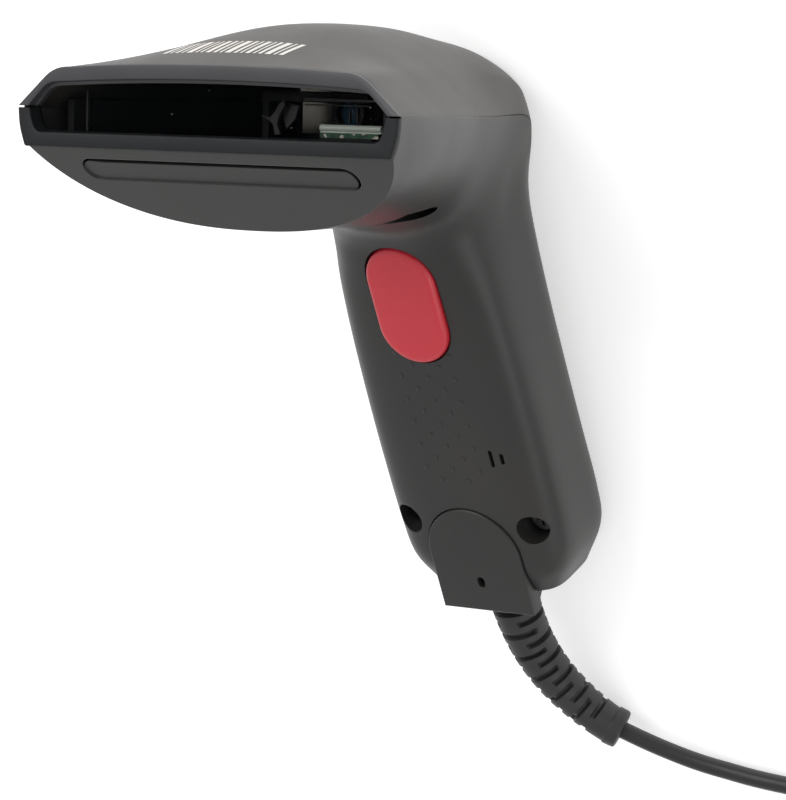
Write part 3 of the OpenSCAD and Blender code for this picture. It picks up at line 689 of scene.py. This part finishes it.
def shell(part, cols, per):
    """Closed mesh data of one half: outer skin, inner skin, and the rims between them."""
    rows = LAST * per + 1
    t = np.linspace(0, LAST, rows)
    if part == "lower":
        flat = 9 / 11
        u1 = np.concatenate([np.linspace(0, 1, int(cols * flat) + 1) ** 1.25 * flat,
                             np.linspace(flat, 1, cols - int(cols * flat) + 1)[1:]])
        flat_col = int(cols * flat)
    else:
        u1 = np.concatenate([np.linspace(0, CHAMFER_SHARE, cols // 3 + 1),
                             np.linspace(CHAMFER_SHARE, 1, cols - cols // 3 + 1)[1:]])[::-1]
        flat_col = 0
    u = np.concatenate([u1[:0:-1], u1])
    side = np.concatenate([-np.ones(len(u1) - 1), np.ones(len(u1))])
    tt, uu = np.meshgrid(t, u, indexing="ij")
    outer = skin(part, tt, uu, side[None])
    ti = INNER_START + (INNER_END - INNER_START) * tt / LAST
    inner = skin(part, ti, uu, side[None], WALL)
    # A small step along the seam: the rim turns in, and a column just before it keeps the surface
    for col, nxt in ((0, 1), (-1, -2)):
        rim, before = outer[:, col].copy(), outer[:, nxt]
        d = before - rim
        reach = np.linalg.norm(d, axis=1)[:, None]
        inward = inner[:, col] - rim
        inward /= np.linalg.norm(inward, axis=1)[:, None]
        outer[:, nxt] = rim + d * np.minimum(1, 0.28 / reach)
        outer[:, col] = rim + inward * 0.3
    m = len(u)
    base = rows * m
    faces = grid_faces(rows, m) + [f[::-1] for f in grid_faces(rows, m, start=base)]
    mid = m // 2
    for j in range(m - 1):
        if flat_col == 0 or j < mid - flat_col or j >= mid + flat_col:
            faces.append((j, base + j, base + j + 1, j + 1))
    for i in range(rows - 1):
        faces.append((i * m, (i + 1) * m, base + (i + 1) * m, base + i * m))
        e = i * m + m - 1
        faces.append((e, base + e, base + e + m, e + m))
    end = (rows - 1) * m
    faces.append(tuple(end + j for j in range(m)))
    faces.append(tuple(base + end + j for j in range(m))[::-1])
    faces.append((end + m - 1, end, base + end, base + end + m - 1))
    if flat_col:
        faces.append(tuple(range(mid + flat_col, mid - flat_col - 1, -1)))
        faces.append(tuple(base + j for j in range(mid - flat_col, mid + flat_col + 1)))
        faces.append((mid - flat_col, mid + flat_col, base + mid + flat_col, base + mid - flat_col))
    return np.vstack([outer.reshape(-1, 3), inner.reshape(-1, 3)]), faces


def handle_prism(outline, q, low, high, x=0.0):
    pts, faces = stack([outline, outline], [low, high])
    return on_handle(pts + np.array([x, 0, 0]), q), faces


def tube(q, x, r_out, r_in, low, high):
    """A ring standing in the handle frame."""
    o, i = circle(r_out), circle(r_in)
    m = len(o)
    pts = np.vstack([np.column_stack([c, np.full(m, h)])
                     for c, h in ((o, low), (o, high), (i, high), (i, low))])
    faces = []
    for k in range(4):
        for j in range(m):
            n = (j + 1) % m
            a, b = k * m, ((k + 1) % 4) * m
            faces.append((a + j, a + n, b + n, b + j))
    return on_handle(pts + np.array([x, 0, 0]), q), faces


TRIGGER_AT, TRIGGER_W, TRIGGER_L, TRIGGER_GAP = 24.5, 17.4, 28.6, 0.4
COVER_TOP, COVER_W, COVER_DEEP, COVER_GAP = 77.0, 24.0, 1.7, 0.25
SOUND_Q = 63
SCREW_X, HANDLE_SCREW_Q, POST_DEEP, POCKET_R = 16.2, 81.6, 9.0, 3.6
NECK_X, NECK_POCKET_Q, NECK_DEEP, NECK_POCKET_R = 15.0, -6.4, 3.5, 5.1
BLOCK_DEEP, BLOCK_L, RELIEF_DEEP, RELIEF_R = 7.6, 8.8, 9.4, 6.2


def cover_outline(grow, n=24):
    """The cable cover's arch, from its left foot round to its right foot."""
    reach = HANDLE_END - COVER_TOP - COVER_W / 2
    r = COVER_W / 2 + grow
    a = np.linspace(math.pi, 0, n + 1)
    arch = np.stack([r * np.cos(a), r * np.sin(a)], -1)
    return np.vstack([[[-r, -reach - grow]], arch, [[r, -reach - grow]]])


def core(inset, cols=40, per=6):
    """Closed mesh data of all that the front half encloses, inset from its surface."""
    t = np.linspace(0.04, LAST - 0.1, LAST * per + 1)
    u1 = np.linspace(0, 1, cols + 1)
    u = np.concatenate([u1[:0:-1], u1])
    side = np.concatenate([-np.ones(cols), np.ones(cols + 1)])
    tt, uu = np.meshgrid(t, u, indexing="ij")
    m = len(u)
    faces = grid_faces(len(t), m, True) + [tuple(range(m))[::-1],
                                           tuple((len(t) - 1) * m + k for k in range(m))]
    return skin("lower", tt, uu, side[None], inset).reshape(-1, 3), faces


def relief_bore():
    """The cylinder that the cord's boot runs in, through the cover's block and the handle's end."""
    bore, faces = stack([circle(RELIEF_R + 0.3, 64), circle(RELIEF_R + 0.3, 64)], [0, 24])
    return on_handle(np.stack([bore[:, 0], -bore[:, 2], bore[:, 1] - RELIEF_DEEP], -1), 88), faces


def groove_trench():
    """A crescent along the groove's upper edge that curls round its right end."""
    r, reach = GROOVE_W / 2, (GROOVE_L - GROOVE_W) / 2
    left = [(-reach + r * math.cos(a), r * math.sin(a))
            for a in np.linspace(math.radians(170), math.radians(90), 10)]
    right = [(reach + r * math.cos(a), r * math.sin(a))
             for a in np.linspace(math.radians(90), math.radians(-75), 20)]
    outer = np.array(left + [(x, r) for x in np.linspace(-reach, reach, 24)[1:-1]] + right)
    away = np.gradient(outer, axis=0)
    away = np.column_stack([away[:, 1], -away[:, 0]]) / np.linalg.norm(away, axis=1)[:, None]
    n = len(outer)
    share = np.clip(np.arange(n) / 10, 0, 1) * np.clip((n - 1 - np.arange(n)) / 9, 0, 1)
    inner = outer + away * (0.05 + 1.35 * share)[:, None]
    outline = np.vstack([outer, inner[::-1]])
    pts, faces = stack([outline, outline], [-1.75, 1.5])
    return on_chin(pts + np.array([0, -GROOVE_DOWN, 0])), faces


def make_front():
    pts, faces = shell("lower", 48, 9)
    obj = piece("front_shell", pts, faces, "front_cover", replaces=["front_housing"], angle=30)
    tubes = []
    for s in (-1, 1):
        tubes.append(handle_prism(circle(POCKET_R + 0.9), HANDLE_SCREW_Q, -POST_DEEP, 6, s * SCREW_X))
        tubes.append(handle_prism(circle(NECK_POCKET_R + 0.9), NECK_POCKET_Q, -NECK_DEEP, 18, s * NECK_X))
    posts = piece("t", *joined(tubes), None)
    combine(posts, piece("k", *core(0.5), None), "INTERSECT")
    combine(obj, posts, "UNION")
    holes = []
    for s in (-1, 1):
        holes.append(handle_prism(circle(POCKET_R), HANDLE_SCREW_Q, 1.5 - POST_DEEP, 18, s * SCREW_X))
        holes.append(handle_prism(circle(NECK_POCKET_R), NECK_POCKET_Q, 1.5 - NECK_DEEP, 18, s * NECK_X))
    holes.append(handle_prism(stadium(TRIGGER_W + 2 * TRIGGER_GAP, TRIGGER_L + 2 * TRIGGER_GAP, 24),
                              TRIGGER_AT, -6, 6))
    holes.append(handle_prism(stadium(1, 4.4, 8), SOUND_Q, -4, 4, 11))
    holes.append(handle_prism(stadium(1, 2.8, 8), SOUND_Q, -4, 4, 13.6))
    groove = stadium(GROOVE_W, GROOVE_L, 16)[:, ::-1]
    g, gf = stack([groove, groove], [-GROOVE_DEEP, 3])
    holes.append((on_chin(g + np.array([0, -GROOVE_DOWN, 0])), gf))
    combine(obj, piece("h", *joined(holes), None), "DIFFERENCE")
    combine(obj, piece("g", *groove_trench(), None), "DIFFERENCE")
    combine(obj, piece("c", *handle_prism(cover_outline(COVER_GAP), COVER_TOP + COVER_W / 2,
                                          -COVER_DEEP - COVER_GAP, 10), None), "DIFFERENCE")
    half, low = COVER_W / 2 + COVER_GAP, -BLOCK_DEEP - COVER_GAP
    room = np.array([(-half, -1.0), (half, -1.0), (half, BLOCK_L + COVER_GAP),
                     (-half, BLOCK_L + COVER_GAP)])
    combine(obj, piece("r", *handle_prism(room, HANDLE_END, low, 10), None), "DIFFERENCE")
    combine(obj, piece("b", *relief_bore(), None), "DIFFERENCE")
    tidy_mesh(obj, True, 28)
    dress(obj, "front_cover")
    return obj


def make_rear():
    pts, faces = shell("upper", 45, 9)
    world = row(pts)
    world[:, 2] = np.maximum(world[:, 2], 0.0)
    return piece("rear_shell", world, faces, "rear_cover", replaces=["rear_housing"], metres=True, angle=30)


front = make_front()
rear = make_rear()


def surface_of(obj):
    mesh = obj.data
    return BVHTree.FromPolygons([v.co.copy() for v in mesh.vertices],
                                [tuple(p.vertices) for p in mesh.polygons])


front_tree, rear_tree = surface_of(front), surface_of(rear)


def drop(tree, p_from, d):
    """Where a ray from a head-frame point lands, and the normal there, in the row frame."""
    hit = tree.ray_cast(Vector(row(p_from)), Vector(turned(d)).normalized())
    return hit[0], hit[1]


# ---------------------------------------------------------------- window trims
FRAME_HALF, FRAME_W = 47.2, 3.3
FACE_W = {"upper_trim": 2.6, "lower_trim": 3.0}


def upper_line(inset):
    half = 38 + inset * 0.6
    side, top = FRAME_TOP - 1.1 - inset * 1.18, FRAME_TOP - inset * 1.15
    x = np.linspace(-half, half, 33)
    arch = np.stack([x, top - (top - side) * (x / half) ** 2], -1)
    line = np.vstack([[[-FRAME_HALF + inset, 0.2]], arch, [[FRAME_HALF - inset, 0.2]]])
    cut = 3.0 - inset * 0.3
    head_ = fillet([line[0], line[1], line[6]], [cut], 7)
    tail = fillet([line[-7], line[-2], line[-1]], [cut], 7)
    return np.vstack([head_[:-1], line[6:-6], tail[1:]])


def lower_line(inset):
    pts = [(FRAME_HALF - inset, -0.2), (FRAME_HALF - inset - 0.3, -4 + inset * 0.6),
           (45.5 - inset * 0.95, -8.1 + inset),
           (-45.5 + inset * 0.95, -8.1 + inset), (-FRAME_HALF + inset + 0.3, -4 + inset * 0.6),
           (-FRAME_HALF + inset, -0.2)]
    cut = [1.6, 0.5 + inset * 0.3, 0.5 + inset * 0.3, 1.6]
    return fillet(pts, cut, 7)


def make_trim(name, line, material):
    """A rounded rim swept along its outline, with a lip that runs back round the window."""
    y0, y1 = FRONT_Y - FRAME_DEPTH, FRONT_Y
    face = FACE_W[name]
    profile = [(0.12, y1), (0.0, y1 - 0.2), (0.0, y0 + 0.30), (0.05, y0 + 0.13), (0.15, y0 + 0.03),
               (0.32, y0), (face - 0.3, y0), (face - 0.12, y0 + 0.05), (face - 0.02, y0 + 0.16),
               (face, y0 + 0.35), (face + 0.1, y1 + 0.5), (FRAME_W, y1 + 0.9),
               (FRAME_W, y1 + 2.2), (FRAME_W - 0.9, y1 + 2.2), (FRAME_W - 0.9, y1)]
    lines = [line(i) for i, _ in profile]
    n, m = len(lines[0]), len(profile)
    pts = np.array([[(l[k][0], y, l[k][1]) for l, (_, y) in zip(lines, profile)] for k in range(n)])
    faces = grid_faces(n, m, True) + [tuple(range(m)), tuple((n - 1) * m + k for k in range(m))[::-1]]
    node = "upper_window_trim" if "upper" in name else "lower_window_trim"
    return piece(name, pts.reshape(-1, 3), faces, material, "window_frame", replaces=[node], angle=38)


make_trim("upper_trim", upper_line, "trim_upper")
make_trim("lower_trim", lower_line, "trim_lower")


# ---------------------------------------------------------------- trigger
def make_trigger():
    prof = [(0, -2.35), (0, 0.15), (0.05, 0.5), (0.2, 0.88), (0.45, 1.2), (0.8, 1.42), (1.25, 1.54),
            (1.9, 1.6)]
    outs = [stadium(TRIGGER_W - 2 * i, TRIGGER_L - 2 * i, 28) for i, _ in prof]
    heights = [h for _, h in prof]
    flange = [(stadium(TRIGGER_W + 2.6, TRIGGER_L + 2.6, 28), -3.55),
              (stadium(TRIGGER_W + 2.6, TRIGGER_L + 2.6, 28), -2.35)]
    pts, faces = stack([f[0] for f in flange] + outs, [f[1] for f in flange] + heights)
    stem, sf = stack([circle(2.1), circle(2.1)], [-7.3, -3.5])
    pts, faces = joined([(pts, faces), (stem, sf)])
    return piece("trigger", on_handle(pts, TRIGGER_AT), faces, "trigger_red", body="trigger",
                 replaces=["trigger_button"], angle=40)


make_trigger()


# ---------------------------------------------------------------- cable cover
def make_cover():
    reach = HANDLE_END - COVER_TOP
    centre = COVER_TOP + COVER_W / 2

    def face_out(y):
        """How far the face stands out at a place up along the handle."""
        up = y + (HANDLE_END - centre)
        return np.where(up < reach - 2, COVER_PROUD + (COVER_LIP - COVER_PROUD) * up / (reach - 2),
                        COVER_LIP - 0.1 * (up - reach + 2))

    rings = []
    for inset, drop_by in ((0, None), (0, 0.45), (0.1, 0.2), (0.32, 0.04), (0.7, 0.0)):
        o = cover_outline(-inset)
        z = np.full(len(o), -COVER_DEEP) if drop_by is None else face_out(o[:, 1]) - drop_by
        rings.append(np.column_stack([o, z]))
    m = len(rings[0])
    pts = np.vstack(rings)
    faces = grid_faces(len(rings), m, True)
    faces += [tuple(range(m))[::-1], tuple((len(rings) - 1) * m + k for k in range(m))]
    obj = piece("cable_door", on_handle(pts, centre), faces, "cable_cover", replaces=["cable_cover"],
                angle=30)
    side = np.array([(0, -0.5), (BLOCK_L - 2.5, -BLOCK_DEEP), (BLOCK_L, -BLOCK_DEEP), (BLOCK_L, -0.6),
                     (0.3, -0.4)])
    half = COVER_W / 2 - 0.02
    block = np.vstack([np.column_stack([np.full(5, x), side]) for x in (-half, half)])
    bf = grid_faces(2, 5, True) + [(0, 1, 2, 3, 4), (9, 8, 7, 6, 5)]
    combine(obj, piece("k", on_handle(block, HANDLE_END), bf, None), "UNION")
    combine(obj, piece("b", *relief_bore(), None), "DIFFERENCE")
    slot = stadium(1.9, 2.8, 10)
    combine(obj, piece("s", *handle_prism(slot, 96, -6, 8), None), "DIFFERENCE")
    tidy_mesh(obj, True, 30)
    dress(obj, "cable_cover")
    return obj


make_cover()


# ---------------------------------------------------------------- grip dots
def make_dots():
    """Low domes in staggered rows of two and three."""
    rows_ = []
    pitch = 2.94
    for k in range(-2, 10):
        q = 43 + pitch * k
        xs = (-7, 0, 7) if k % 2 == 0 else (-3.5, 3.5)
        if k == -2:
            xs = (-7, 7)
        rows_ += [(x, q) for x in xs]
    parts = []
    n = 14
    for x, q in rows_:
        at, normal = drop(front_tree, on_handle(np.array([x, 0, 6.0]), q),
                          (0, math.cos(HANDLE_LEAN), math.sin(HANDLE_LEAN)))
        if at is None:
            continue
        out = (Vector(row(on_handle(np.array([x, 0, 6.0]), q))) - at).length / MM
        lift = 6.0 - out
        rings = [(0.66, -0.12), (0.62, 0.03), (0.5, 0.14), (0.33, 0.215), (0.14, 0.245)]
        pts, faces = stack([circle(r, n) for r, _ in rings], [h + lift for _, h in rings])
        parts.append((on_handle(pts + np.array([x, 0, 0]), q), faces))
    pts, faces = joined(parts)
    return piece("grip_dots", pts, faces, "front_cover", angle=60)


make_dots()

# ---------------------------------------------------------------- details behind the window
def make_ribs():
    """Ribs of the optics chassis: a beam over the lens, a hooked fin, two thin bars and an end wall. They
    are dressed in a lighter grey than their black inner plastic: painted light for the light on their
    edges.
    """
    def bar(low, high):
        x, y, z = zip(low, high)
        pts = [(x[i], y[j], z[k]) for i in (0, 1) for j in (0, 1) for k in (0, 1)]
        return pts, [(0, 1, 3, 2), (4, 6, 7, 5), (0, 4, 5, 1), (2, 3, 7, 6), (0, 2, 6, 4), (1, 5, 7, 3)]

    parts = [bar((9.6, 20, 2.3), (27.2, 21, 2.9)), bar((9.6, 20.3, 1.4), (26, 21, 1.7)),
             bar((20.7, 20, -1.9), (21.0, 20.6, 0.9)), bar((22.6, 20, -1.9), (22.9, 20.6, 1.0))]
    hook = np.array([(-1.4, -0.9), (1.2, -1.2), (2.6, 0.2), (3.4, 1.6), (4.6, 2.2), (5, 1.4), (3.6, -0.6),
                     (3, -2.6), (3.9, -4.6), (2.4, -4.7), (1.9, -2.6), (0.6, -1.6)])
    pts, faces = stack([hook, hook], [0, 0.8])
    parts.append((np.column_stack([pts[:, 0], 20 + pts[:, 2], pts[:, 1]]), faces))
    wedge = np.array([(3.9, 1.9), (7.4, 1.2), (6.6, -1.4), (4.4, -3.6), (3.4, -1.2)])
    pts, faces = stack([wedge, wedge], [0, 0.6])
    parts.append((np.column_stack([pts[:, 0], 21.4 + pts[:, 2], pts[:, 1]]), faces))
    parts.append(bar((-37.4, 8.6, -6.1), (-37.0, 9.6, 3.4)))
    return piece("chassis_ribs", *joined(parts), "rib_grey", "black_inner", smooth=False)


make_ribs()


def make_print():
    """A short generic print on the top cover: plain bars of a few widths, no letters."""
    widths = [1.1, 0.5, 0.8, 0.5, 1.4, 0.5, 0.5, 1.1, 0.8, 0.5, 1.4, 0.8, 0.5, 1.1, 0.5, 0.8, 1.4, 0.5, 1.1]
    x, parts = -17.0, []
    for w in widths:
        rows_ = []
        for y in np.linspace(7.5, 15.5, 9):
            for e in (x, x + w):
                at, normal = drop(rear_tree, (e, y, 40.0), (0, 0, -1))
                rows_.append((at + normal.normalized() * 0.00004
                              if normal.dot(Vector(turned((0, 0, 1)))) > 0
                              else at - normal.normalized() * 0.00004))
        parts.append((np.array(rows_), grid_faces(9, 2)))
        x += w + 0.8
    return piece("cover_print", *joined(parts), "print_white", "rear_cover", metres=True)


make_print()


# ---------------------------------------------------------------- carried CAD nodes
for node in frame["nodes"]:
    entry = [s for s in frame["record"]["subparts"] if s["node"] == node][0]
    slot = entry["material_slot"]
    name = slot if slot in M else {"window_frame": "trim_lower"}.get(slot)
    dress(frame["nodes"][node], name)


# ---------------------------------------------------------------- stage and light
def make_stage():
    mesh = bpy.data.meshes.new("floor")
    mesh.from_pydata([(-3, -3, 0), (3, -3, 0), (3, 3, 0), (-3, 3, 0)], [], [(0, 1, 2, 3)])
    floor = bpy.data.objects.new("floor", mesh)
    bpy.context.scene.collection.objects.link(floor)
    m = Mat("floor")
    m.link(m.mix(m.noise(3, 2, 0.5), (0.95, 0.95, 0.95), (0.965, 0.965, 0.965)), m.p.inputs["Base Color"])
    m.p.inputs["Roughness"].default_value = 0.9
    m.p.inputs["Specular IOR Level"].default_value = 0.1
    m.p.inputs["Emission Color"].default_value = (1, 1, 1, 1)
    m.p.inputs["Emission Strength"].default_value = 0.42
    mesh.materials.append(m.m)


def area(name, place, aim, size, watts, colour=(1, 1, 1), size_y=None):
    data = bpy.data.lights.new(name, "AREA")
    data.shape = "RECTANGLE" if size_y else "SQUARE"
    data.size, data.energy, data.color = size, watts, colour
    if size_y:
        data.size_y = size_y
    obj = bpy.data.objects.new(name, data)
    bpy.context.scene.collection.objects.link(obj)
    obj.location = place
    obj.rotation_euler = (Vector(aim) - Vector(place)).to_track_quat("-Z", "Y").to_euler()
    return obj


def make_light():
    world = bpy.data.worlds.new("studio")
    bpy.context.scene.world = world
    world.use_nodes = True
    bg = world.node_tree.nodes["Background"]
    bg.inputs[0].default_value = (1, 1, 1, 1)
    bg.inputs[1].default_value = 0.66
    area("key", (-0.5, 1.1, 1.1), (0, 0, 0.03), 0.9, 9)
    area("fill", (1.2, -0.5, 0.9), (0, 0, 0.03), 0.8, 3)
    bpy.context.scene.view_settings.view_transform = "Standard"


make_stage()
make_light()
